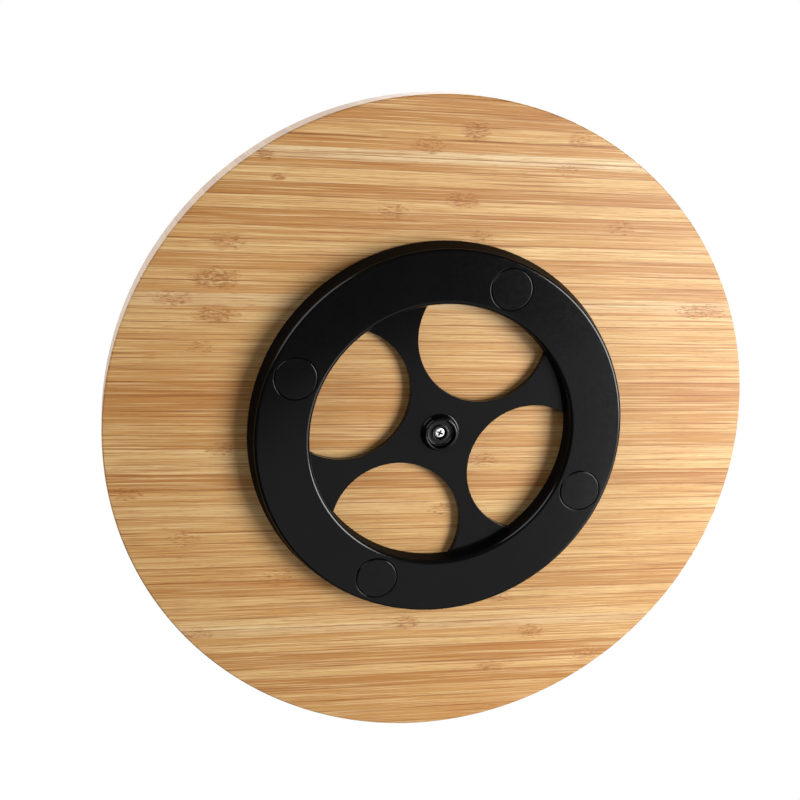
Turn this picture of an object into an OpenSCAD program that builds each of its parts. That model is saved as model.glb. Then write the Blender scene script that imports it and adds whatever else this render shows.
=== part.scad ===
// Turntable display stand: a round bamboo board on a ball-bearing ring base.
// The base stands still on four pads. The board, the upper race, the bushing and the screws turn
// together about the vertical axis, and the balls roll between the two races inside the cage.
// Origin: on the turning axis, at the surface that the pads stand on. Units: millimetres, +Z up.

/* [Board] */
// Diameter of the bamboo board
board_d = 300; // [240:1:400]
// Thickness of the bamboo board
board_t = 20; // [16:0.5:30]
// Rounding of the board's upper edge
board_top_round = 2.5; // [0.5:0.1:5]
// Rounding of the board's lower edge
board_low_round = 0.8; // [0.5:0.1:5]

/* [Base ring] */
// Outer diameter of the base ring
ring_d = 170; // [150:1:220]
// Width of the ring's face, from the inner opening to the outside
ring_w = 24.6; // [22:0.1:32]
// How far the ring's outer wall leans out between its face and its edge by the board
ring_flare = 2.3; // [0:0.1:4]
// Thickness of the ring's two upright walls
ring_wall = 2.2; // [1.6:0.1:3]
// Thickness of the channel's floor
floor_t = 2.4; // [2:0.1:4]
// Rounding of the face's outer edge
outer_round = 1.6; // [0.5:0.1:2]
// Rounding of the face's inner edge
inner_round = 1.3; // [0.5:0.1:2]
// Gap between the top of the ring's walls and the board
board_gap = 0.8; // [0.5:0.1:1.5]

/* [Spider] */
// Thickness of the spider plate that carries the hub
spider_t = 3.3; // [2.5:0.1:4]
// Gap between the spider plate and the board
spider_gap = 1.2; // [0.8:0.1:2]
// Number of round openings in the spider
opening_count = 4; // [3:1:5]
// Diameter of each round opening
opening_d = 60.8; // [40:0.1:64]
// Distance from the axis to each opening's centre
opening_r = 48.2; // [44:0.1:60]

/* [Hub] */
// Height of the hub's collar below the spider plate
hub_h = 3.3; // [2:0.1:4]
// Diameter of the hub's collar at its rim
hub_d = 15.8; // [15:0.1:20]
// Extra radius of the collar's flank where it meets the plate
hub_flare = 0.7; // [0.2:0.1:1.2]
// Width of the collar's rim
hub_rim = 1.4; // [1.2:0.1:2]
// Rounding of the rim's outer edge
hub_round = 0.9; // [0.3:0.1:1]

/* [Pivot] */
// Outer diameter of the bushing's sleeve
sleeve_d = 8; // [7:0.1:9]
// Thickness of the bushing's flange
flange_t = 1.5; // [1.2:0.1:2]
// Depth of the dish in the flange's face
flange_dish = 0.5; // [0.2:0.1:0.8]
// Width of the flange's rim round the dish
flange_rim = 0.7; // [0.4:0.1:1]
// Depth of the screw head's seat below the flange's face
seat_depth = 2.8; // [2:0.1:3]
// Radial running clearance between the sleeve and the hub's bore
pivot_clear = 0.06; // [0.03:0.01:0.1]
// Axial play between the flange and the hub
flange_play = 0.1; // [0.05:0.05:0.3]
// Radial gap between the flange and the hub's collar
flange_gap = 0.3; // [0.2:0.1:0.6]

/* [Balls and cage] */
// Diameter of each steel ball
ball_d = 6; // [5:0.5:7]
// Number of balls
ball_count = 12; // [8:1:16]
// Gap between a ball and each race
ball_clear = 0.1; // [0.05:0.01:0.2]
// Gap between a ball and its pocket in the cage
pocket_clear = 0.15; // [0.1:0.05:0.2]
// How much larger than the ball's the grooves' radius is
groove_extra = 0.25; // [0.15:0.05:0.4]
// Depth of the groove in each race
groove_depth = 0.8; // [0.5:0.1:1]
// Width of the raised bed that the lower groove is cut in
bed_w = 7.4; // [6:0.1:9]
// Thickness of the cage at its pockets
cage_t = 2.6; // [2.2:0.1:3]
// Thickness of the cage's band between the pockets
cage_band_t = 1.8; // [1.2:0.1:2.2]
// Width of the cage's band between the pockets
cage_band_w = 4.2; // [3:0.1:6]
// Width of the cage's plastic round a pocket
cage_wall = 1.7; // [1:0.1:2.5]

/* [Upper race] */
// Thickness of the upper race above its groove
race_t = 2.4; // [2:0.1:3.5]
// Gap between the upper race and each of the ring's walls
race_gap = 1.6; // [1:0.1:2]

/* [Pads] */
// Number of pads
pad_count = 4; // [3:1:6]
// Diameter of a pad
pad_d = 18.8; // [12:0.1:20]
// Thickness of a pad
pad_t = 1.4; // [1.2:0.1:1.6]
// How far a pad stands out of the ring's face
pad_proud = 0.4; // [0.2:0.1:0.6]
// Gap round a pad in its seat
pad_gap = 0.2; // [0.1:0.05:0.4]
// Rounding of a pad's edge
pad_round = 0.3; // [0.1:0.05:0.4]
// Distance from the ring's middle line to a pad's centre, outwards
pad_shift = 0.2; // [-0.5:0.1:0.5]

/* [Centre screw] */
// Diameter of the centre screw's thread
centre_d = 3; // [2.5:0.1:3.5]
// Length of the centre screw below its head
centre_len = 15; // [10:0.5:16]
// Diameter of the centre screw's pan head
centre_head_d = 5.3; // [4.8:0.1:5.6]
// Height of the centre screw's pan head
centre_head_h = 1.9; // [1.5:0.1:2.2]
// Gap round the head in the bushing's seat
head_gap = 0.45; // [0.3:0.05:0.5]

/* [Race screws] */
// Number of screws that hold the upper race
race_screw_count = 6; // [4:1:8]
// Diameter of a race screw's thread
race_screw_d = 3; // [2.5:0.1:3.2]
// Overall length of a race screw
race_screw_len = 12; // [8:0.5:14]
// Diameter of a race screw's countersunk head
race_head_d = 5.4; // [5:0.1:5.6]

/* [Threads] */
// Distance between neighbouring thread ridges
thread_pitch = 1.2; // [0.8:0.1:1.6]
// Depth of the thread
thread_depth = 0.35; // [0.2:0.05:0.5]
// Radial gap between a screw and its hole
screw_clear = 0.1; // [0.05:0.05:0.2]
// Length left free beyond a screw's tip in the board
tip_room = 1; // [0.5:0.5:2]

/* [Hidden] */
$fn = 96;
// A small overlap that joins solids and clears cut faces
eps = 0.01;
// Reach of a cut beyond the solid it is cut from
past = 1;
// Angles of the first opening, pad, ball and race screw
opening_start = 45;
pad_start = 45;
ball_start = 15;
race_screw_start = 0;
// Rounding of the small plastic edges
small_round = 0.3;
// Rounding of the channel's two inside corners
channel_round = 0.8;
// Length of plain shank below a screw's head, and of its pointed tip
neck_len = 1.5;
tip_len = 2;
// Width, span and depth of the cross recess in a screw head
cross_w = 0.75;
cross_span = 3;
cross_depth = 1.1;

// Radii
ring_r = ring_d / 2;
opening_rim_r = ring_r - ring_w;
race_r = ring_r - ring_w / 2;
pad_r = race_r + pad_shift;
groove_r = ball_d / 2 + groove_extra;
groove_half = sqrt(groove_r ^ 2 - (groove_r - groove_depth) ^ 2);
pocket_r = ball_d / 2 + pocket_clear;
race_in = opening_rim_r + ring_wall + race_gap;
race_out = ring_r - ring_wall - race_gap;
race_screw_r = (race_r + groove_half + race_out) / 2;
sleeve_r = sleeve_d / 2;
bore_r = sleeve_r + pivot_clear;
hub_r = hub_d / 2;
cup_r = hub_r - hub_rim;
flange_r = cup_r - flange_gap;
seat_r = centre_head_d / 2 + head_gap;

// Heights, from the surface that the pads stand on
face_z = pad_proud;
floor_z = face_z + floor_t;
ball_z = floor_z + ball_clear + ball_d / 2;
groove_top_z = ball_z + ball_d / 2 + ball_clear;
race_low_z = groove_top_z - groove_depth;
board_z = groove_top_z + race_t;
board_top_z = board_z + board_t;
wall_top_z = board_z - board_gap;
spider_top_z = board_z - spider_gap;
spider_z = spider_top_z - spider_t;
hub_rim_z = spider_z - hub_h;
flange_top_z = spider_z - flange_play;
flange_z = flange_top_z - flange_t;
seat_z = flange_z + seat_depth;

PADS = [for (i = [1:pad_count]) str("pad_", i)];
BALLS = [for (i = [1:ball_count]) str("ball_", i)];
RACE_SCREWS = [for (i = [1:race_screw_count]) str("race_screw_", i)];

// Puts its child at the index-th of count equal steps round the axis, at a radius
module around(index, count, start, radius) {
    rotate([0, 0, start + (index - 1) * 360 / count])
        translate([radius, 0, 0])
            children();
}

// What rounding a corner takes away. The corner points down and to the left,
// and each quarter turns it anticlockwise by a right angle.
module corner_waste(x, y, r, quarter) {
    translate([x, y])
        rotate(90 * quarter)
            difference() {
                translate([-past, -past])
                    square(r + past);
                translate([r, r])
                    circle(r);
            }
}

// The same for a corner that points down and to the right, below a side that leans out
module leaning_waste(x, y, r, lean) {
    reach = r / tan(45 + lean / 2);
    difference() {
        polygon([
            [x - reach, y - past],
            [x + past, y - past],
            [x + reach * sin(lean) + past, y + reach * cos(lean) - past * tan(lean)],
            [x + reach * sin(lean), y + reach * cos(lean)],
            [x - reach, y + r]
        ]);
        translate([x - reach, y + r])
            circle(r);
    }
}

// A rectangle in the turning plane, from radius a to b and from height low to high
module band(a, b, low, high) {
    translate([a, low])
        square([b - a, high - low]);
}

// The outline of a screw's shank: a plain neck, ridged thread and pointed tip
module shank_outline(d, length) {
    root = d / 2 - thread_depth;
    ridges = floor((length - neck_len - tip_len) / thread_pitch);
    ridge_points = [
        for (i = [0:ridges - 1])
            for (p = [[root, 0.1], [d / 2, 0.45], [root, 0.8]])
                [p[0], neck_len + (i + p[1]) * thread_pitch]
    ];
    polygon(concat(
        [[0, 0], [d / 2, 0], [d / 2, neck_len - eps]],
        ridge_points,
        [[root, length - tip_len], [0, length]]
    ));
}

// The cross recess in a screw head, opening downwards at height 0
module cross_recess() {
    intersection() {
        translate([0, 0, -eps])
            cylinder(h = cross_depth, r1 = cross_span / 2, r2 = cross_w / 2);
        for (turn = [0, 90])
            rotate([0, 0, turn])
                translate([-cross_span / 2, -cross_w / 2, -past])
                    cube([cross_span, cross_w, cross_depth + past]);
    }
}

module board() {
    centre_hole_z = seat_z + centre_len + tip_room;
    race_hole_z = race_low_z + race_screw_len + tip_room;
    color("burlywood")
        difference() {
            rotate_extrude()
                difference() {
                    band(0, board_d / 2, board_z, board_top_z);
                    corner_waste(board_d / 2, board_z, board_low_round, 1);
                    corner_waste(board_d / 2, board_top_z, board_top_round, 2);
                }
            translate([0, 0, board_z - past])
                cylinder(h = centre_hole_z - board_z + past, r = centre_d / 2 + screw_clear);
            for (i = [1:race_screw_count])
                around(i, race_screw_count, race_screw_start, race_screw_r)
                    translate([0, 0, board_z - past])
                        cylinder(h = race_hole_z - board_z + past, r = race_screw_d / 2 + screw_clear);
        }
}

// The ring: a channel open towards the board, with the lower groove in a raised bed
module ring_outline() {
    lean = atan(ring_flare / (wall_top_z - face_z));
    difference() {
        polygon([
            [opening_rim_r, face_z],
            [ring_r, face_z],
            [ring_r + ring_flare, wall_top_z],
            [opening_rim_r, wall_top_z]
        ]);
        difference() {
            band(opening_rim_r + ring_wall, ring_r - ring_wall, floor_z, wall_top_z + past);
            corner_waste(opening_rim_r + ring_wall, floor_z, channel_round, 0);
            corner_waste(ring_r - ring_wall, floor_z, channel_round, 1);
            band(race_r - bed_w / 2, race_r + bed_w / 2, floor_z - past, floor_z + groove_depth);
        }
        translate([race_r, floor_z + groove_r])
            circle(groove_r);
        corner_waste(opening_rim_r, face_z, inner_round, 0);
        leaning_waste(ring_r, face_z, outer_round, lean);
        corner_waste(opening_rim_r, wall_top_z, small_round, 3);
    }
}

// The hub's collar, which stands below the spider plate round the bushing's flange
module hub_outline() {
    difference() {
        polygon([
            [cup_r, hub_rim_z],
            [hub_r, hub_rim_z],
            [hub_r, hub_rim_z + hub_round],
            [hub_r + hub_flare, spider_z],
            [hub_r + hub_flare, spider_z + eps],
            [cup_r, spider_z + eps]
        ]);
        corner_waste(hub_r, hub_rim_z, hub_round, 1);
        corner_waste(cup_r, hub_rim_z, small_round, 0);
    }
}

module spider_plate() {
    translate([0, 0, spider_z])
        linear_extrude(spider_t)
            difference() {
                circle(opening_rim_r + ring_wall / 2);
                for (i = [1:opening_count])
                    around(i, opening_count, opening_start, opening_r)
                        circle(opening_d / 2);
            }
}

module base() {
    color("#1b1b1d")
        difference() {
            union() {
                rotate_extrude()
                    ring_outline();
                spider_plate();
                rotate_extrude()
                    hub_outline();
            }
            translate([0, 0, spider_z - past])
                cylinder(h = spider_t + 2 * past, r = bore_r);
            for (i = [1:pad_count])
                around(i, pad_count, pad_start, pad_r)
                    translate([0, 0, -past])
                        cylinder(h = pad_t + past, r = pad_d / 2 + pad_gap);
        }
}

module pad(index) {
    color("#232325")
        around(index, pad_count, pad_start, pad_r)
            rotate_extrude()
                difference() {
                    band(0, pad_d / 2, 0, pad_t);
                    corner_waste(pad_d / 2, 0, pad_round, 1);
                }
}

module ball_cage() {
    color("ivory")
        difference() {
            union() {
                translate([0, 0, ball_z - cage_band_t / 2])
                    rotate_extrude()
                        band(race_r - cage_band_w / 2, race_r + cage_band_w / 2, 0, cage_band_t);
                for (i = [1:ball_count])
                    around(i, ball_count, ball_start, race_r)
                        translate([0, 0, ball_z - cage_t / 2])
                            cylinder(h = cage_t, r = pocket_r + cage_wall);
            }
            for (i = [1:ball_count])
                around(i, ball_count, ball_start, race_r)
                    translate([0, 0, ball_z])
                        sphere(pocket_r);
        }
}

module ball(index) {
    color("silver")
        around(index, ball_count, ball_start, race_r)
            translate([0, 0, ball_z])
                sphere(ball_d / 2);
}

module upper_race() {
    head_r = race_head_d / 2;
    hole_r = race_screw_d / 2 + screw_clear;
    sink = head_r - race_screw_d / 2;
    color("dimgray")
        difference() {
            rotate_extrude()
                difference() {
                    band(race_in, race_out, race_low_z, board_z);
                    translate([race_r, groove_top_z - groove_r])
                        circle(groove_r);
                    corner_waste(race_in, race_low_z, small_round, 0);
                    corner_waste(race_out, race_low_z, small_round, 1);
                }
            for (i = [1:race_screw_count])
                around(i, race_screw_count, race_screw_start, race_screw_r) {
                    translate([0, 0, race_low_z])
                        cylinder(h = sink, r1 = head_r, r2 = race_screw_d / 2);
                    translate([0, 0, race_low_z - past])
                        cylinder(h = board_z - race_low_z + 2 * past, r = hole_r);
                }
        }
}

module race_screw(index) {
    head_r = race_head_d / 2;
    sink = head_r - race_screw_d / 2;
    color("silver")
        around(index, race_screw_count, race_screw_start, race_screw_r)
            translate([0, 0, race_low_z])
                difference() {
                    union() {
                        cylinder(h = sink, r1 = head_r, r2 = race_screw_d / 2);
                        translate([0, 0, sink])
                            rotate_extrude()
                                shank_outline(race_screw_d, race_screw_len - sink);
                    }
                    cross_recess();
                }
}

// The bushing turns with the board: its flange holds the hub up, its seat takes the screw's head
module pivot_bushing() {
    color("#141416")
        rotate_extrude()
            difference() {
                union() {
                    band(0, flange_r, flange_z, flange_top_z);
                    band(0, sleeve_r, flange_top_z - eps, board_z);
                }
                band(-past, centre_d / 2 + screw_clear, flange_z - past, board_z + past);
                band(-past, seat_r, flange_z - past, seat_z);
                difference() {
                    band(seat_r - eps, flange_r - flange_rim, flange_z - past, flange_z + flange_dish);
                    band(seat_r - past, seat_r + flange_rim, flange_z, flange_z + flange_dish + past);
                }
                corner_waste(flange_r, flange_z, small_round, 1);
            }
}

module centre_screw() {
    color("silver")
        difference() {
            union() {
                rotate_extrude()
                    difference() {
                        band(0, centre_head_d / 2, seat_z - centre_head_h, seat_z);
                        corner_waste(centre_head_d / 2, seat_z - centre_head_h, centre_head_h / 2, 1);
                    }
                translate([0, 0, seat_z - eps])
                    rotate_extrude()
                        shank_outline(centre_d, centre_len + eps);
            }
            translate([0, 0, seat_z - centre_head_h])
                cross_recess();
        }
}

board();
base();
for (i = [1:pad_count]) pad(i);
ball_cage();
for (i = [1:ball_count]) ball(i);
upper_race();
for (i = [1:race_screw_count]) race_screw(i);
pivot_bushing();
centre_screw();
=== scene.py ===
"""Turntable display stand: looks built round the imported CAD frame. Metres, +Z up."""
import math

import bmesh
import bpy
from mathutils import Matrix, Vector


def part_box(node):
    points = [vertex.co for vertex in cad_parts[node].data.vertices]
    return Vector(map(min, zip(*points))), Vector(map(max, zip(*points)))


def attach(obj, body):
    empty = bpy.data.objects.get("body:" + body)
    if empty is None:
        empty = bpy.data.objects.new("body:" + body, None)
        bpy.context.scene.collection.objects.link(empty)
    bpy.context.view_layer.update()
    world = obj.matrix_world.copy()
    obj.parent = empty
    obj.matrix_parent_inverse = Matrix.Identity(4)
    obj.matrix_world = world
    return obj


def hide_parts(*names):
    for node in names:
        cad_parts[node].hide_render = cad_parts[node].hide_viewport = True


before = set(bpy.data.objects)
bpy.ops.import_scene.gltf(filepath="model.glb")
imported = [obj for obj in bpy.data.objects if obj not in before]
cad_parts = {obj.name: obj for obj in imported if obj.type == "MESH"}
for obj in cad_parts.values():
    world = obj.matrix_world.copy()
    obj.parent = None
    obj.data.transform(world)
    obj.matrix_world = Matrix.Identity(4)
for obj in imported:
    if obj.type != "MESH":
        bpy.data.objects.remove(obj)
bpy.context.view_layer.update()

MM = 0.001

# ---------------------------------------------------------------- sizes, from the frame
BOARD_LOW, BOARD_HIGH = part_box("board")
BASE_LOW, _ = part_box("base")
PAD_LOW, PAD_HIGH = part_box("pad_1")
BUSH_LOW, BUSH_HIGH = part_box("pivot_bushing")
SCREW_LOW, SCREW_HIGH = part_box("centre_screw")
RACE_SCREW_LOW, RACE_SCREW_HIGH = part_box("race_screw_1")

BOARD_R = min(-BOARD_LOW.x, -BOARD_LOW.y, BOARD_HIGH.x, BOARD_HIGH.y)
BOARD_Z, BOARD_TOP = BOARD_LOW.z, BOARD_HIGH.z
RING_R = 85 * MM
FACE_Z = BASE_LOW.z
SPIDER_TOP = BOARD_Z - 1.2 * MM
SPIDER_Z = SPIDER_TOP - 3.3 * MM
WALL_TOP = BOARD_Z - 0.8 * MM
# How far the ring's outer wall leans out on its way to the board
FLARE = 2.3 * MM
RING_IN_R = RING_R - 24.6 * MM
WALL = 2.2 * MM
FLOOR_Z = FACE_Z + 2.4 * MM
RACE_R = (RING_R + RING_IN_R) / 2
GROOVE_R = 3.25 * MM
GROOVE_DEPTH = 0.8 * MM
BED_HALF = 3.7 * MM
OPENING_R = 30.4 * MM
OPENING_AT = 48.2 * MM
HUB_R = 7.9 * MM
CUP_R = 6.5 * MM
HUB_H = 3.3 * MM
HUB_RIM_Z = SPIDER_Z - HUB_H
BORE_R = 4.06 * MM
PAD_R = (PAD_HIGH.x - PAD_LOW.x) / 2
PAD_TOP = PAD_HIGH.z
PAD_AT = RACE_R + 0.2 * MM
FLANGE_R = (BUSH_HIGH.x - BUSH_LOW.x) / 2
SHANK_R = 1.5 * MM
HOLE_R = SHANK_R + 0.1 * MM
SLEEVE_R = 4 * MM
SEAT_Z = BUSH_LOW.z + 2.8 * MM
THREAD_DEPTH = 0.35 * MM
THREAD_PITCH = 1.2 * MM
# The thread's first ring stands this much above the head's last one
STEP_UP = 0.01 * MM
RACE_SCREW_AT = (RACE_SCREW_LOW.x + RACE_SCREW_HIGH.x) / 2
PAD_COUNT, OPENING_COUNT, RACE_SCREW_COUNT = 4, 4, 6
# Radius of the small roundings that only soften an edge
SOFT = 0.3 * MM
# The bamboo's grain runs at this angle from +X
GRAIN = math.radians(23.5)
STRIP = 6.3 * MM


# ---------------------------------------------------------------- mesh tools
def arc(cx, cz, r, start, end, steps=6):
    """Points of an arc in the turning plane, from angle start to end in degrees."""
    points = []
    for i in range(steps + 1):
        a = math.radians(start + (end - start) * i / steps)
        points.append((cx + r * math.cos(a), cz + r * math.sin(a)))
    return points


def add_object(name, mesh):
    made = bpy.data.objects.new(name, mesh)
    bpy.context.scene.collection.objects.link(made)
    return made


def finish_mesh(name, bm):
    bmesh.ops.remove_doubles(bm, verts=bm.verts, dist=1e-7)
    bmesh.ops.recalc_face_normals(bm, faces=bm.faces)
    mesh = bpy.data.meshes.new(name)
    bm.to_mesh(mesh)
    bm.free()
    return add_object(name, mesh)


def lathe(name, outline, segments=256, at=(0, 0, 0)):
    """Turns a closed outline of (radius, height) points round the vertical axis."""
    bm = bmesh.new()
    rings = []
    for r, z in outline:
        if r < 1e-9:
            rings.append([bm.verts.new((at[0], at[1], z + at[2]))] * segments)
            continue
        ring = []
        for i in range(segments):
            a = 2 * math.pi * i / segments
            ring.append(bm.verts.new((at[0] + r * math.cos(a), at[1] + r * math.sin(a), z + at[2])))
        rings.append(ring)
    for here, there in zip(rings, rings[1:] + rings[:1]):
        for i in range(segments):
            j = (i + 1) % segments
            corners = []
            for v in (here[i], here[j], there[j], there[i]):
                if v not in corners:
                    corners.append(v)
            if len(corners) > 2:
                bm.faces.new(corners)
    return finish_mesh(name, bm)


def combine(target, tool, operation):
    """Joins or cuts target with tool, exactly, and removes tool."""
    modifier = target.modifiers.new("combine", "BOOLEAN")
    modifier.object, modifier.operation, modifier.solver = tool, operation, "EXACT"
    bpy.context.view_layer.update()
    seen = target.evaluated_get(bpy.context.evaluated_depsgraph_get())
    mesh = bpy.data.meshes.new_from_object(seen)
    target.modifiers.clear()
    target.data = mesh
    bpy.data.objects.remove(tool)
    return target


def smooth(obj, angle=28):
    """Smooth shading that keeps true edges and flat faces."""
    obj.data.shade_smooth()
    obj.data.set_sharp_from_angle(angle=math.radians(angle))
    modifier = obj.modifiers.new("weighted_normals", "WEIGHTED_NORMAL")
    modifier.keep_sharp = True
    return obj


def polar(radius, degrees):
    a = math.radians(degrees)
    return radius * math.cos(a), radius * math.sin(a)


def spaced(radius, count, start=0):
    """The (x, y) places of count pieces, evenly spaced round the axis from angle start."""
    return [polar(radius, start + 360 * i / count) for i in range(count)]


# ---------------------------------------------------------------- shader tools
class Shader:
    """Short calls for a material's node tree."""

    def __init__(self, name):
        self.material = bpy.data.materials.new(name)
        self.material.use_nodes = True
        self.tree = self.material.node_tree
        self.tree.nodes.clear()
        self.out = self.tree.nodes.new("ShaderNodeOutputMaterial")
        self.surface = self.tree.nodes.new("ShaderNodeBsdfPrincipled")
        self.join(self.surface.outputs["BSDF"], self.out.inputs["Surface"])

    def join(self, source, target):
        self.tree.links.new(source, target)

    def put(self, value, socket):
        if isinstance(value, bpy.types.NodeSocket):
            self.join(value, socket)
        else:
            socket.default_value = value

    def math(self, operation, a, b=0.0):
        node = self.tree.nodes.new("ShaderNodeMath")
        node.operation = operation
        for value, socket in zip((a, b), node.inputs):
            self.put(value, socket)
        return node.outputs[0]

    def plus(self, a, b):
        return self.math("ADD", a, b)

    def minus(self, a, b):
        return self.math("SUBTRACT", a, b)

    def times(self, a, b):
        return self.math("MULTIPLY", a, b)

    def over(self, a, b):
        return self.math("DIVIDE", a, b)

    def place(self):
        node = self.tree.nodes.new("ShaderNodeTexCoord")
        return node.outputs["Object"]

    def split(self, vector):
        node = self.tree.nodes.new("ShaderNodeSeparateXYZ")
        self.join(vector, node.inputs[0])
        return node.outputs

    def vector(self, x, y, z):
        node = self.tree.nodes.new("ShaderNodeCombineXYZ")
        for value, socket in zip((x, y, z), node.inputs):
            self.put(value, socket)
        return node.outputs[0]

    def noise(self, vector, scale=1.0, detail=2.0, roughness=0.5):
        node = self.tree.nodes.new("ShaderNodeTexNoise")
        self.join(vector, node.inputs["Vector"])
        node.inputs["Scale"].default_value = scale
        node.inputs["Detail"].default_value = detail
        node.inputs["Roughness"].default_value = roughness
        return node.outputs[0]

    def noise_along(self, value, scale=1.0, detail=1.0):
        node = self.tree.nodes.new("ShaderNodeTexNoise")
        node.noise_dimensions = "1D"
        self.join(value, node.inputs["W"])
        node.inputs["Scale"].default_value = scale
        node.inputs["Detail"].default_value = detail
        return node.outputs[0]

    def random(self, value):
        """Three different random numbers for each whole number."""
        node = self.tree.nodes.new("ShaderNodeTexWhiteNoise")
        node.noise_dimensions = "1D"
        self.join(value, node.inputs["W"])
        return self.split(node.outputs["Color"])

    def fade(self, value, low, high, start=0.0, end=1.0):
        """start below low, end above high, and a smooth step between."""
        node = self.tree.nodes.new("ShaderNodeMapRange")
        node.interpolation_type = "SMOOTHSTEP"
        self.put(value, node.inputs["Value"])
        names = ("From Min", "From Max", "To Min", "To Max")
        for number, socket in zip((low, high, start, end), names):
            node.inputs[socket].default_value = number
        return node.outputs[0]

    def ramp(self, value, stops):
        node = self.tree.nodes.new("ShaderNodeValToRGB")
        self.join(value, node.inputs[0])
        marks = node.color_ramp.elements
        while len(marks) < len(stops):
            marks.new(0.5)
        for mark, (position, colour) in zip(marks, stops):
            mark.position = position
            mark.color = (*colour, 1.0)
        return node.outputs[0]

    def mix(self, amount, a, b, blend="MIX"):
        node = self.tree.nodes.new("ShaderNodeMix")
        node.data_type, node.blend_type = "RGBA", blend
        self.put(amount, node.inputs[0])
        for value, socket in ((a, node.inputs[6]), (b, node.inputs[7])):
            self.put((*value, 1.0) if isinstance(value, tuple) else value, socket)
        return node.outputs[2]

    def shine(self, level):
        self.surface.inputs["Specular IOR Level"].default_value = level

    def bump(self, height, strength, distance):
        node = self.tree.nodes.new("ShaderNodeBump")
        node.inputs["Strength"].default_value = strength
        node.inputs["Distance"].default_value = distance
        self.join(height, node.inputs["Height"])
        self.join(node.outputs[0], self.surface.inputs["Normal"])

    def set(self, **values):
        for name, value in values.items():
            self.put(value, self.surface.inputs[name.replace("_", " ").title()])


def grain_coordinates(s):
    """Along the grain, across it and up, in metres."""
    x, y, z = s.split(s.place())
    along = s.plus(s.times(x, math.cos(GRAIN)), s.times(y, math.sin(GRAIN)))
    across = s.minus(s.times(y, math.cos(GRAIN)), s.times(x, math.sin(GRAIN)))
    return along, across, z


# The cane's nodes: place along and across the grain, half length and half width (mm), strength
NODES = [
    (8, -135, 6, 4.0, 0.80), (4, -105, 7, 3.5, 0.80), (-27, -99, 6, 3.0, 0.70),
    (-98, -84, 7, 3.5, 0.70), (-103, -68, 9, 4.5, 1.00), (-102, -52, 9, 3.5, 0.90),
    (-120, -59, 8, 3.0, 0.55), (79, -95, 6, 3.0, 0.60), (124, -57, 12, 3.0, 0.80),
    (-9, 96, 6, 3.0, 0.70), (54, 103, 6, 3.5, 0.65), (23, 15, 7, 3.0, 0.65),
    (-12, -128, 7, 3.5, 0.60), (14, -89, 5, 2.5, 0.55), (5, 39, 6, 3.0, 0.60),
    (38, 85, 6, 2.5, 0.50), (84, 116, 7, 3.0, 0.60), (35, 121, 7, 3.0, 0.60),
    (56, -133, 5, 3.0, 0.50), (-83, -121, 4, 2.5, 0.70), (-77, -112, 3, 1.5, 0.90),
    (46, 66, 5, 2.5, 0.30), (-108, -38, 6, 3.0, 0.40), (51, -120, 5, 2.5, 0.35),
    (-99, 9, 6, 3.0, 0.50), (-139, 29, 6, 2.5, 0.70), (-108, 98, 7, 3.0, 0.55),
    (-114, 51, 7, 4.0, 0.35), (-71, 71, 8, 4.0, 0.35),
]
# Strips paler than their neighbours: middle and half width across the grain (mm), strength
PALE_STRIPS = [(-122.7, 2.6, 0.80), (-58.8, 3.0, 0.45), (97.5, 2.4, 0.40)]


def cane_nodes(s, along, across):
    """Where the nodes show: ragged patches, each on one strip."""
    ragged = s.noise(s.vector(s.times(along, 160.0), s.times(across, 420.0), 0.0), 1.0, 2.0)
    ragged = s.times(s.minus(ragged, 0.5), 1.3)
    node_zone = 0.0
    for at_along, at_across, half_length, half_width, strength in NODES:
        far = s.over(s.minus(along, at_along * MM), half_length * MM)
        aside = s.over(s.minus(across, at_across * MM), half_width * MM)
        spread = s.plus(s.times(far, far), s.times(aside, aside))
        patch = s.fade(s.plus(spread, ragged), 0.1, 1.9, strength, 0.0)
        node_zone = s.math("MAXIMUM", node_zone, patch)
    return node_zone


def strip_colour(s, strip, across):
    """Each strip's own tone, and the few that are paler."""
    colour = s.ramp(s.random(strip)[0], [
        (0.00, (0.450, 0.192, 0.052)),
        (0.20, (0.545, 0.268, 0.087)),
        (0.55, (0.630, 0.350, 0.132)),
        (0.90, (0.715, 0.440, 0.190)),
        (1.00, (0.745, 0.480, 0.225)),
    ])
    for at_across, half_width, strength in PALE_STRIPS:
        aside = s.math("ABSOLUTE", s.minus(across, at_across * MM))
        pale = s.fade(aside, (half_width - 0.3) * MM, (half_width + 0.3) * MM, strength, 0.0)
        colour = s.mix(pale, colour, (0.83, 0.640, 0.400))
    return colour


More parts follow.
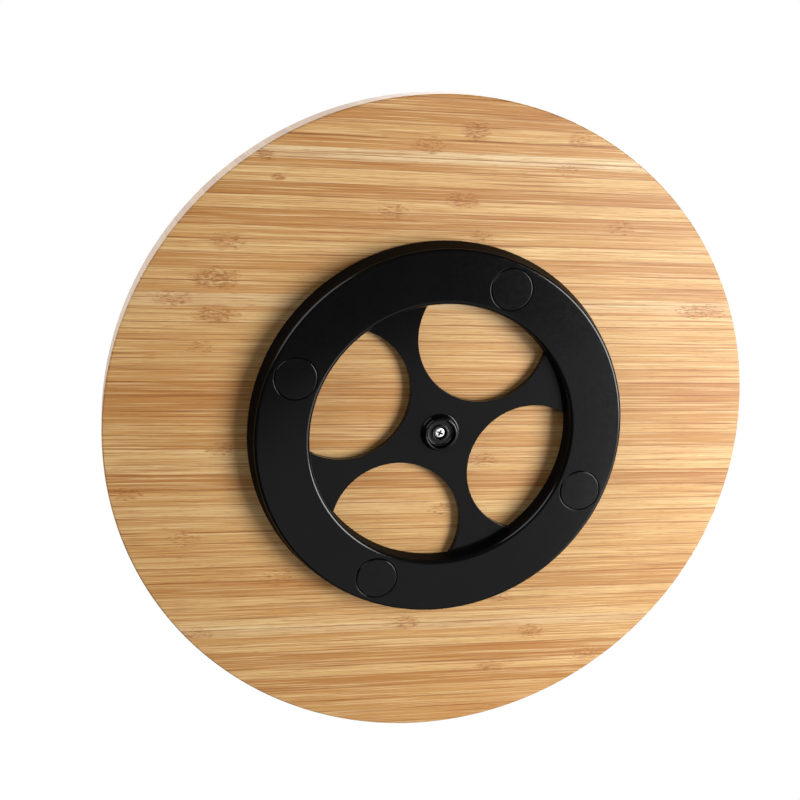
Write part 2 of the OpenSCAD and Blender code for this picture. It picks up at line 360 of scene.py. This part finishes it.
def bamboo(name, edge=False):
    """Side-pressed bamboo: strips of uneven width and tone, fibres, joints and nodes."""
    s = Shader(name)
    along, across, up = grain_coordinates(s)

    # strips of uneven width
    uneven = s.times(s.noise_along(across, 70.0), 7.0 * MM)
    strip_place = s.over(s.plus(across, uneven), STRIP)
    strip = s.math("FLOOR", strip_place)
    off_middle = s.math("ABSOLUTE", s.minus(s.math("FRACT", strip_place), 0.5))
    node_zone = cane_nodes(s, along, across)

    # fibres bend a little round a node
    bend = s.noise(s.vector(s.times(along, 130.0), s.times(across, 160.0), strip), 1.0, 1.0)
    bend = s.times(s.times(s.minus(bend, 0.5), node_zone), 2.6 * MM)
    wander = s.noise(s.vector(s.times(along, 7.0), s.times(across, 60.0), strip), 1.0, 1.0)
    line = s.plus(s.plus(across, bend), s.times(wander, 0.4 * MM))

    def streaks(length, width, detail=2.0, offset=0.0):
        """Noise drawn out along the grain: features of that length and width in metres."""
        return s.noise(s.vector(
            s.over(along, length),
            s.over(line, width),
            s.plus(strip, offset),
        ), 1.0, detail)

    broad = streaks(0.16, 2.6 * MM)
    bands = streaks(0.09, 1.1 * MM, 2.0, 11.0)
    fibres = streaks(0.050, 0.42 * MM, 3.0, 23.0)
    hairs = streaks(0.016, 0.26 * MM, 2.0, 29.0)
    ticks = s.fade(streaks(0.007, 0.34 * MM, 1.0, 31.0), 0.600, 0.690)
    dark_lines = s.fade(streaks(0.085, 0.66 * MM, 1.0, 37.0), 0.600, 0.680)
    pale_lines = s.fade(streaks(0.060, 0.50 * MM, 1.0, 43.0), 0.590, 0.680)
    marks = s.plus(streaks(3.2 * MM, 0.50 * MM, 2.0, 51.0), s.times(node_zone, 0.15))
    dashes = s.times(s.fade(marks, 0.600, 0.670), s.fade(node_zone, 0.02, 0.20))
    specks = s.times(s.fade(streaks(1.6 * MM, 0.55 * MM, 1.0, 67.0), 0.58, 0.66), node_zone)
    blotch = s.times(node_zone, s.fade(streaks(0.014, 2.4 * MM, 2.0, 79.0), 0.38, 0.56))

    colour = strip_colour(s, strip, across)
    # each layer: where and how strongly it shows, and its colour
    layers = [
        (s.fade(broad, 0.38, 0.62, 0.0, 0.26), (0.50, 0.215, 0.060)),
        (s.fade(bands, 0.36, 0.52, 0.42, 0.0), (0.80, 0.550, 0.275)),
        (s.fade(fibres, 0.47, 0.60, 0.0, 0.50), (0.45, 0.185, 0.050)),
        (s.fade(hairs, 0.45, 0.60, 0.0, 0.32), (0.44, 0.185, 0.052)),
        (s.times(ticks, 0.40), (0.34, 0.110, 0.025)),
        (s.times(pale_lines, 0.50), (0.86, 0.630, 0.345)),
        (s.times(dark_lines, 0.66), (0.32, 0.092, 0.018)),
        (s.times(blotch, 0.60), (0.46, 0.165, 0.036)),
        (s.times(dashes, 0.62), (0.26, 0.082, 0.018)),
        (s.times(specks, 0.22), (0.84, 0.600, 0.330)),
    ]
    for amount, tint in layers:
        colour = s.mix(amount, colour, tint)
    # the glue line between strips
    joint = s.fade(off_middle, 0.458, 0.488)
    patchy = s.fade(s.noise_along(s.plus(along, strip), 22.0), 0.36, 0.56, 0.20, 0.92)
    joint = s.times(joint, patchy)
    colour = s.mix(joint, colour, (0.27, 0.078, 0.017))
    # the whole face is a little yellower than its parts
    colour = s.mix(1.0, colour, (0.985, 1.045, 1.02), "MULTIPLY")

    if edge:
        # cut fibre ends show as fine dots, and the edge is made paler by a painted highlight
        per_metre = 1900.0
        place = s.vector(*(s.times(value, per_metre) for value in (along, across, up)))
        ends = s.noise(place, 1.0, 1.0)
        # painted highlight: this paler cream stands in for the strong light on the rim
        colour = s.mix(0.62, colour, (0.74, 0.620, 0.540))
        colour = s.mix(s.fade(ends, 0.55, 0.7, 0.0, 0.15), colour, (0.50, 0.30, 0.17))
    s.set(base_color=colour)
    s.shine(0.38)
    s.set(roughness=s.fade(fibres, 0.2, 0.8, 0.40, 0.56))
    relief = s.minus(s.times(fibres, 0.5), s.times(dark_lines, 0.35))
    relief = s.minus(relief, s.times(dashes, 0.6))
    s.bump(relief, 0.30, 0.12 * MM)
    return s.material


def shade(colour, amount):
    return tuple(amount * c for c in colour)


def plastic(name, colour, rough_low, rough_high, shine=0.5, grain=0.35 * MM, depth=0.06):
    """Moulded plastic: a fine surface texture and slightly uneven gloss."""
    s = Shader(name)
    place = s.place()
    cloud = s.noise(place, 60.0, 3.0)
    texture = s.noise(place, 1.0 / grain, 2.0)
    s.set(base_color=s.mix(s.fade(cloud, 0.3, 0.7), shade(colour, 0.9), shade(colour, 1.1)))
    s.set(roughness=s.fade(s.noise(place, 900.0, 2.0), 0.3, 0.7, rough_low, rough_high))
    s.shine(shine)
    s.bump(texture, depth, 0.02 * MM)
    return s.material


def rubber(name):
    """Smooth moulded rubber with a faint dusty bloom."""
    s = Shader(name)
    place = s.place()
    bloom = s.fade(s.noise(place, 140.0, 4.0), 0.35, 0.75)
    s.set(base_color=s.mix(bloom, (0.0030, 0.0030, 0.0032), (0.0042, 0.0042, 0.0044)))
    s.set(roughness=s.fade(s.noise(place, 500.0, 2.0), 0.3, 0.7, 0.15, 0.18))
    s.shine(0.31)
    s.bump(s.noise(place, 2600.0, 2.0), 0.08, 0.02 * MM)
    return s.material


def steel(name, colour, rough_low, rough_high):
    """Plated or polished steel with faint handling marks."""
    s = Shader(name)
    place = s.place()
    marks = s.fade(s.noise(place, 300.0, 3.0), 0.3, 0.7)
    s.set(base_color=s.mix(marks, shade(colour, 0.9), colour))
    s.set(metallic=1.0)
    s.set(roughness=s.fade(s.noise(place, 900.0, 3.0), 0.3, 0.7, rough_low, rough_high))
    s.bump(s.noise(place, 2200.0, 2.0), 0.15, 0.01 * MM)
    return s.material


BAMBOO = bamboo("bamboo_face")
# the edge material carries a painted highlight: its paler colour stands in for light on the rim
BAMBOO_EDGE_PAINTED_LIGHT = bamboo("bamboo_edge_painted_light", edge=True)
BLACK = (0.0028, 0.0028, 0.0031)
BLACK_PLASTIC = plastic("black_plastic", BLACK, 0.14, 0.17, shine=0.31)
BLACK_WALL = plastic("black_plastic_wall", BLACK, 0.50, 0.60, shine=0.03)
BUSHING_PLASTIC = plastic("bushing_plastic", (0.0028, 0.0028, 0.0030), 0.18, 0.26, depth=0.12)
RACE_PLASTIC = plastic("race_plastic", (0.045, 0.045, 0.048), 0.38, 0.5)
NATURAL_PLASTIC = plastic("natural_plastic", (0.72, 0.69, 0.60), 0.38, 0.5)
PAD_RUBBER = rubber("pad_rubber")
BALL_STEEL = steel("ball_steel", (0.78, 0.79, 0.80), 0.06, 0.12)
SCREW_ZINC = steel("screw_zinc", (0.72, 0.71, 0.68), 0.22, 0.34)
BRIGHT_ZINC = steel("bright_zinc", (0.90, 0.90, 0.89), 0.38, 0.48)
# painted shade: this dark zinc stands in for the shadow inside the screws' cross recess
RECESS_PAINTED_SHADE = steel("zinc_with_painted_recess_shade", (0.10, 0.10, 0.10), 0.45, 0.55)


def wear(obj, *materials):
    obj.data.materials.clear()
    for material in materials:
        obj.data.materials.append(material)


# ---------------------------------------------------------------- the board
def make_board():
    low_edge, top_edge = 0.8 * MM, 2.5 * MM
    outline = [(0, BOARD_Z)]
    outline += arc(BOARD_R - low_edge, BOARD_Z + low_edge, low_edge, -90, 0, 8)
    outline += arc(BOARD_R - top_edge, BOARD_TOP - top_edge, top_edge, 0, 90, 10)
    outline += [(0, BOARD_TOP)]
    board = lathe("board_detail", outline, 360)
    # pilot holes for the centre screw and the race screws
    ends = [(0, 0, SCREW_HIGH.z)]
    for x, y in spaced(RACE_SCREW_AT, RACE_SCREW_COUNT):
        ends.append((x, y, RACE_SCREW_HIGH.z))
    for x, y, end in ends:
        hole = [(0, BOARD_Z - MM), (HOLE_R, BOARD_Z - MM), (HOLE_R, end + MM), (0, end + MM)]
        combine(board, lathe("hole", hole, 32, (x, y, 0)), "DIFFERENCE")
    wear(board, BAMBOO, BAMBOO_EDGE_PAINTED_LIGHT)
    for face in board.data.polygons:
        if abs(face.normal.z) < 0.35 and face.center.xy.length > BOARD_R - 3 * MM:
            face.material_index = 1
    smooth(board)
    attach(board, "turntable")
    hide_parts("board")


# ---------------------------------------------------------------- the base moulding
def ring_outline():
    outer, inner, small, corner = 1.6 * MM, 1.9 * MM, SOFT, 0.8 * MM
    out_wall, in_wall = RING_R - WALL, RING_IN_R + WALL
    bed_top = FLOOR_Z + GROOVE_DEPTH
    sweep = math.degrees(math.acos((GROOVE_R - GROOVE_DEPTH) / GROOVE_R))
    # the outer wall leans out, so its rounding ends where the arc meets the leaning side
    lean = math.degrees(math.atan2(FLARE, WALL_TOP - FACE_Z))
    reach = outer / math.tan(math.radians(45 + lean / 2))
    points = arc(RING_R - reach, FACE_Z + outer, outer, -90, -lean, 10)
    points += arc(RING_R + FLARE - 1.3 * small, WALL_TOP - small, small, -lean, 90, 4)
    points += arc(out_wall + small, WALL_TOP - small, small, 90, 180, 3)
    points += arc(out_wall - corner, FLOOR_Z + corner, corner, 0, -90, 4)
    points += [(RACE_R + BED_HALF, FLOOR_Z), (RACE_R + BED_HALF, bed_top)]
    points += arc(RACE_R, FLOOR_Z + GROOVE_R, GROOVE_R, -90 + sweep, -90 - sweep, 12)
    points += [(RACE_R - BED_HALF, bed_top), (RACE_R - BED_HALF, FLOOR_Z)]
    points += arc(in_wall + corner, FLOOR_Z + corner, corner, -90, -180, 4)
    points += arc(in_wall - small, WALL_TOP - small, small, 0, 90, 3)
    points += arc(RING_IN_R + small, WALL_TOP - small, small, 90, 180, 3)
    points += arc(RING_IN_R + inner, FACE_Z + inner, inner, 180, 270, 8)
    return points


def hub_outline():
    rim, inner, root = 0.9 * MM, SOFT, 0.9 * MM
    foot = HUB_R + 0.25 * MM
    points = arc(CUP_R + inner, HUB_RIM_Z + inner, inner, 180, 270, 4)
    points += arc(HUB_R - rim, HUB_RIM_Z + rim, rim, -90, 0, 8)
    points += arc(foot + root, SPIDER_Z - root, root, 180, 90, 6)
    points += [(foot + root, SPIDER_Z + MM), (CUP_R, SPIDER_Z + MM)]
    return points


def opening_outline():
    """A through cut whose two mouths round the plate's edges."""
    r, edge = OPENING_R, 0.15 * MM
    points = [(0, SPIDER_Z - MM), (r + edge, SPIDER_Z - MM)]
    points += arc(r + edge, SPIDER_Z + edge, edge, -90, -180, 5)
    points += arc(r + edge, SPIDER_TOP - edge, edge, 180, 90, 5)
    points += [(r + edge, SPIDER_TOP + MM), (0, SPIDER_TOP + MM)]
    return points


def pad_seat_outline():
    r, edge = PAD_R + 0.2 * MM, 0.35 * MM
    points = [(0, -MM), (r + edge, -MM)]
    points += arc(r + edge, FACE_Z + edge, edge, -90, -180, 4)
    points += [(r, PAD_TOP), (0, PAD_TOP)]
    return points


def make_base():
    base = lathe("base_detail", ring_outline(), 288)
    plate_r = RING_IN_R + WALL / 2
    slab = [(0, SPIDER_Z), (plate_r, SPIDER_Z), (plate_r, SPIDER_TOP), (0, SPIDER_TOP)]
    plate = lathe("plate", slab, 288)
    for x, y in spaced(OPENING_AT, OPENING_COUNT, 45):
        combine(plate, lathe("opening", opening_outline(), 160, (x, y, 0)), "DIFFERENCE")
    combine(plate, lathe("hub", hub_outline(), 128), "UNION")
    low, high = HUB_RIM_Z - MM, SPIDER_TOP + MM
    bore = [(0, low), (BORE_R, low), (BORE_R, high), (0, high)]
    combine(plate, lathe("bore", bore, 96), "DIFFERENCE")
    combine(base, plate, "UNION")
    for x, y in spaced(PAD_AT, PAD_COUNT, 45):
        combine(base, lathe("seat", pad_seat_outline(), 96, (x, y, 0)), "DIFFERENCE")
    wear(base, BLACK_PLASTIC, BLACK_WALL)
    for face in base.data.polygons:
        upright = abs(face.normal.z) < 0.3
        if upright and face.center.xy.length > RING_IN_R - MM:
            face.material_index = 1
    smooth(base)
    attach(base, "base")
    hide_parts("base")


def make_pads():
    edge = 0.45 * MM
    outline = [(0, 0.0)] + arc(PAD_R - edge, edge, edge, -90, 0, 5)
    outline += [(PAD_R, PAD_TOP), (0, PAD_TOP)]
    for number, (x, y) in enumerate(spaced(PAD_AT, PAD_COUNT, 45), 1):
        pad = lathe(f"pad_detail_{number}", outline, 128, (x, y, 0))
        wear(pad, PAD_RUBBER)
        smooth(pad)
        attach(pad, "base")
        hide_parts(f"pad_{number}")


# ---------------------------------------------------------------- the pivot
def make_bushing():
    flange_top = SPIDER_Z - 0.1 * MM
    flange_z = BUSH_LOW.z
    seat_r = 3.1 * MM
    dish_out, dish_in = FLANGE_R - 0.7 * MM, seat_r + 0.7 * MM
    dish_z = flange_z + 0.5 * MM
    small, outer = 0.15 * MM, 0.35 * MM
    points = arc(seat_r + small, flange_z + small, small, 180, 270, 3)
    points += arc(dish_in - small, flange_z + small, small, -90, 0, 3)
    points += arc(dish_in + small, dish_z - small, small, 180, 90, 3)
    points += arc(dish_out - small, dish_z - small, small, 90, 0, 3)
    points += arc(dish_out + small, flange_z + small, small, 180, 270, 3)
    points += arc(FLANGE_R - outer, flange_z + outer, outer, -90, 0, 6)
    points += [(FLANGE_R, flange_top), (SLEEVE_R, flange_top), (SLEEVE_R, BUSH_HIGH.z)]
    points += [(HOLE_R, BUSH_HIGH.z), (HOLE_R, SEAT_Z), (seat_r, SEAT_Z)]
    bushing = lathe("bushing_detail", points, 160)
    wear(bushing, BUSHING_PLASTIC)
    smooth(bushing)
    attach(bushing, "turntable")
    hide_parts("pivot_bushing")


def cut_cross(screw, z, at=(0, 0)):
    """Cuts the tapered four-winged recess upwards from height z, one pair of wings at a time."""
    # half length, half width and height of a wing at its mouth and at its end
    mouth = (1.65 * MM, 0.42 * MM, -0.3 * MM)
    end = (0.75 * MM, 0.7 * mouth[1], 1.25 * MM)
    for turn in (45, 135):
        spin = Matrix.Rotation(math.radians(turn), 3, "Z")
        bm = bmesh.new()
        layers = []
        for reach, half, height in (mouth, end):
            corners = [(-reach, -half), (reach, -half), (reach, half), (-reach, half)]
            place = Vector((*at, z + height))
            layers.append([bm.verts.new(spin @ Vector((a, b, 0)) + place) for a, b in corners])
        low, high = layers
        bm.faces.new(low[::-1])
        bm.faces.new(high)
        for i in range(4):
            bm.faces.new((low[i], low[(i + 1) % 4], high[(i + 1) % 4], high[i]))
        combine(screw, finish_mesh("wing", bm), "DIFFERENCE")


def paint_recess_shade(screw, z, plain, painted_shade, at=(0, 0)):
    """Paints shade on the walls of the recess: a dark zinc colour that stands in for the shadow
    inside it.
    """
    wear(screw, plain, painted_shade)
    centre, reach = Vector(at), 1.45 * MM
    for face in screw.data.polygons:
        deep = 0.06 * MM < face.center.z - z < 1.4 * MM
        face.material_index = int(deep and (face.center.xy - centre).length < reach)


def threaded(name, head, start, end, neck, at=(0, 0)):
    """A screw: the head's outline, then a shank with a helical thread and a point."""
    bm = bmesh.new()
    around, steps_a_turn, steepness = 48, 12, 3.2
    tip, tip_share, tip_curve = 2.2 * MM, 0.04, 0.8
    rings = []
    for r, z in head:
        rings.append([(r, z)] * around)
    steps = int((end - start) / THREAD_PITCH * steps_a_turn)
    for k in range(steps + 1):
        z = start + (end - start) * k / steps
        ring = []
        for i in range(around):
            turn = (z - start) / THREAD_PITCH - i / around
            ridge = max(0.0, 1 - abs((turn % 1) - 0.5) * steepness)
            r = SHANK_R if z < start + neck else SHANK_R - THREAD_DEPTH * (1 - ridge)
            r *= min(1.0, max(tip_share, (end - z) / tip) ** tip_curve)
            ring.append((r, z))
        rings.append(ring)
    rows = []
    for ring in rings:
        row = []
        for i, (r, z) in enumerate(ring):
            a = 2 * math.pi * i / around
            row.append(bm.verts.new((at[0] + r * math.cos(a), at[1] + r * math.sin(a), z)))
        rows.append(row)
    for here, there in zip(rows, rows[1:]):
        for i in range(around):
            j = (i + 1) % around
            bm.faces.new((here[i], here[j], there[j], there[i]))
    bm.faces.new(rows[0][::-1])
    bm.faces.new(rows[-1])
    return finish_mesh(name, bm)


def make_centre_screw():
    head_r, low = (SCREW_HIGH.x - SCREW_LOW.x) / 2, SCREW_LOW.z
    crown, edge = 1.6 * MM, 0.95 * MM
    head = [(crown, low), (crown + 0.25 * MM, low + 0.02 * MM)]
    head += arc(head_r - edge, low + 0.06 * MM + edge, edge, -85, 0, 7)
    head += [(head_r, SEAT_Z - 0.1 * MM), (head_r - 0.1 * MM, SEAT_Z), (SHANK_R, SEAT_Z)]
    neck = 3.2 * MM
    screw = threaded("centre_screw_detail", head, SEAT_Z + STEP_UP, SCREW_HIGH.z, neck)
    cut_cross(screw, low)
    paint_recess_shade(screw, low, BRIGHT_ZINC, RECESS_PAINTED_SHADE)
    smooth(screw)
    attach(screw, "turntable")
    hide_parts("centre_screw")


def make_race_screws():
    head_r, low, neck = 2.7 * MM, RACE_SCREW_LOW.z, 1.5 * MM
    head_top = low + head_r - SHANK_R
    head = [(head_r - 0.15 * MM, low), (head_r, low + 0.12 * MM), (SHANK_R, head_top)]
    for number, at in enumerate(spaced(RACE_SCREW_AT, RACE_SCREW_COUNT), 1):
        name = f"race_screw_detail_{number}"
        screw = threaded(name, head, head_top + STEP_UP, RACE_SCREW_HIGH.z, neck, at)
        cut_cross(screw, low, at)
        paint_recess_shade(screw, low, SCREW_ZINC, RECESS_PAINTED_SHADE, at)
        smooth(screw)
        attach(screw, "turntable")
        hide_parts(f"race_screw_{number}")


def dress_cad_nodes():
    """The hidden bearing parts keep their CAD shape and get their real finish."""
    for name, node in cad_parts.items():
        if name == "ball_cage":
            wear(node, NATURAL_PLASTIC)
        elif name.startswith("ball_"):
            wear(node, BALL_STEEL)
        elif name == "upper_race":
            wear(node, RACE_PLASTIC)


# ---------------------------------------------------------------- camera, floor and light
def aim(obj, target):
    obj.rotation_mode = "QUATERNION"
    obj.rotation_quaternion = (Vector(target) - obj.location).to_track_quat("-Z", "Y")


def make_camera():
    """The view from below, at the photograph's angle."""
    azimuth, elevation, roll = (math.radians(a) for a in (-16.6, -69.8, -38.3))
    distance, target = 0.589, Vector((-0.0112, -0.0202, BOARD_Z))
    back = Vector((
        math.sin(azimuth) * math.cos(elevation),
        -math.cos(azimuth) * math.cos(elevation),
        math.sin(elevation),
    ))
    data = bpy.data.cameras.new("camera")
    data.lens, data.sensor_width = 58.6, 36.0
    data.clip_start, data.clip_end = 0.01, 50
    camera = add_object("camera", data)
    camera.rotation_mode = "QUATERNION"
    camera.location = target + back * distance
    level = (-back).to_track_quat("-Z", "Y")
    camera.rotation_quaternion = level @ Matrix.Rotation(roll, 3, "Z").to_quaternion()
    bpy.context.scene.camera = camera
    return camera


WHITE = (1, 1, 1)
# Lights below: name, direction to the right, up and back in the picture, distance, size, power,
# colour. A soft box on the right does most, with weaker light from the other sides.
LIGHTS_BELOW = [
    ("key_below", (0.832, -0.135, 0.515), 0.80, 0.47, 8.1, WHITE),
    ("fill_below", (-0.62, 0.48, 0.62), 1.30, 1.1, 8.3, WHITE),
    ("glow_below", (0.43, -0.766, 0.478), 0.90, 0.9, 0.85, WHITE),
    ("side_below", (0.78, -0.52, 0.35), 0.80, 0.45, 1.5, WHITE),
    ("rim_left", (-0.80, 0.60, -0.10), 1.0, 0.5, 4.0, (0.88, 0.97, 1.10)),
]
# Studio lights for the display side: name, place, size, power
LIGHTS_ABOVE = [
    ("key_above", (0.9, -0.9, 1.3), 1.0, 26.0),
    ("fill_above", (-1.3, -0.4, 1.0), 1.4, 10.0),
]


def area_light(name, place, target, size, power, colour=WHITE):
    data = bpy.data.lights.new(name, "AREA")
    data.shape, data.size, data.energy, data.color = "DISK", size, power, colour
    light = add_object(name, data)
    light.location = place
    aim(light, target)


def make_lights(camera):
    view = camera.rotation_quaternion.to_matrix()
    centre = Vector((0, 0, BOARD_Z))
    for name, direction, distance, size, power, colour in LIGHTS_BELOW:
        place = centre + view @ Vector(direction) * distance
        area_light(name, place, centre, size, power, colour)
    for name, place, size, power in LIGHTS_ABOVE:
        area_light(name, place, centre, size, power)


def make_floor():
    """A pale floor at the pads' level, clear from below so that it doesn't hide the underside."""
    half = 6.0
    corners = [(-half, -half, 0), (half, -half, 0), (half, half, 0), (-half, half, 0)]
    mesh = bpy.data.meshes.new("floor")
    mesh.from_pydata(corners, [], [(0, 1, 2, 3)])
    floor = add_object("floor", mesh)
    # painted light: the floor glows instead of taking the lamps' light, with a painted contact
    # shadow where the object is near it and painted shade that fades to white away from the centre
    s = Shader("floor")
    painted_contact_shadow = s.tree.nodes.new("ShaderNodeAmbientOcclusion")
    painted_contact_shadow.inputs["Distance"].default_value = 0.22
    painted_contact_shadow.samples = 16
    x, y, _ = s.split(s.place())
    away = s.math("SQRT", s.plus(s.times(x, x), s.times(y, y)))
    painted_falloff = s.fade(away, 0.35, 1.8, 0.72, 1.0)
    painted_floor_light = s.times(painted_falloff, s.fade(painted_contact_shadow.outputs["AO"], 0.0, 1.0, 0.30, 1.0))
    glow_with_painted_shade = s.tree.nodes.new("ShaderNodeEmission")
    glow_with_painted_shade.inputs["Color"].default_value = (1.0, 1.0, 0.995, 1.0)
    s.join(painted_floor_light, glow_with_painted_shade.inputs["Strength"])
    s.tree.nodes.remove(s.surface)
    side = s.tree.nodes.new("ShaderNodeNewGeometry")
    clear = s.tree.nodes.new("ShaderNodeBsdfTransparent")
    choose = s.tree.nodes.new("ShaderNodeMixShader")
    s.join(side.outputs["Backfacing"], choose.inputs[0])
    s.join(glow_with_painted_shade.outputs[0], choose.inputs[1])
    s.join(clear.outputs[0], choose.inputs[2])
    s.join(choose.outputs[0], s.out.inputs["Surface"])
    wear(floor, s.material)
    floor.visible_shadow = False
    floor.visible_diffuse = False
    floor.visible_glossy = False


def make_world():
    """White behind the object, softer white light on it."""
    world = bpy.data.worlds.new("studio")
    world.use_nodes = True
    bpy.context.scene.world = world
    tree = world.node_tree
    tree.nodes.clear()
    ray = tree.nodes.new("ShaderNodeLightPath")
    mix = tree.nodes.new("ShaderNodeMixShader")
    ambient = tree.nodes.new("ShaderNodeBackground")
    behind = tree.nodes.new("ShaderNodeBackground")
    out = tree.nodes.new("ShaderNodeOutputWorld")
    ambient.inputs["Color"].default_value = (1, 1, 1, 1)
    ambient.inputs["Strength"].default_value = 0.02
    behind.inputs["Color"].default_value = (1, 1, 1, 1)
    behind.inputs["Strength"].default_value = 1.0
    tree.links.new(ray.outputs["Is Camera Ray"], mix.inputs[0])
    tree.links.new(ambient.outputs[0], mix.inputs[1])
    tree.links.new(behind.outputs[0], mix.inputs[2])
    tree.links.new(mix.outputs[0], out.inputs["Surface"])
    bpy.context.scene.view_settings.view_transform = "Standard"


camera = make_camera()
make_world()
make_floor()
make_lights(camera)
make_board()
make_base()
make_pads()
make_bushing()
make_centre_screw()
make_race_screws()
dress_cad_nodes()
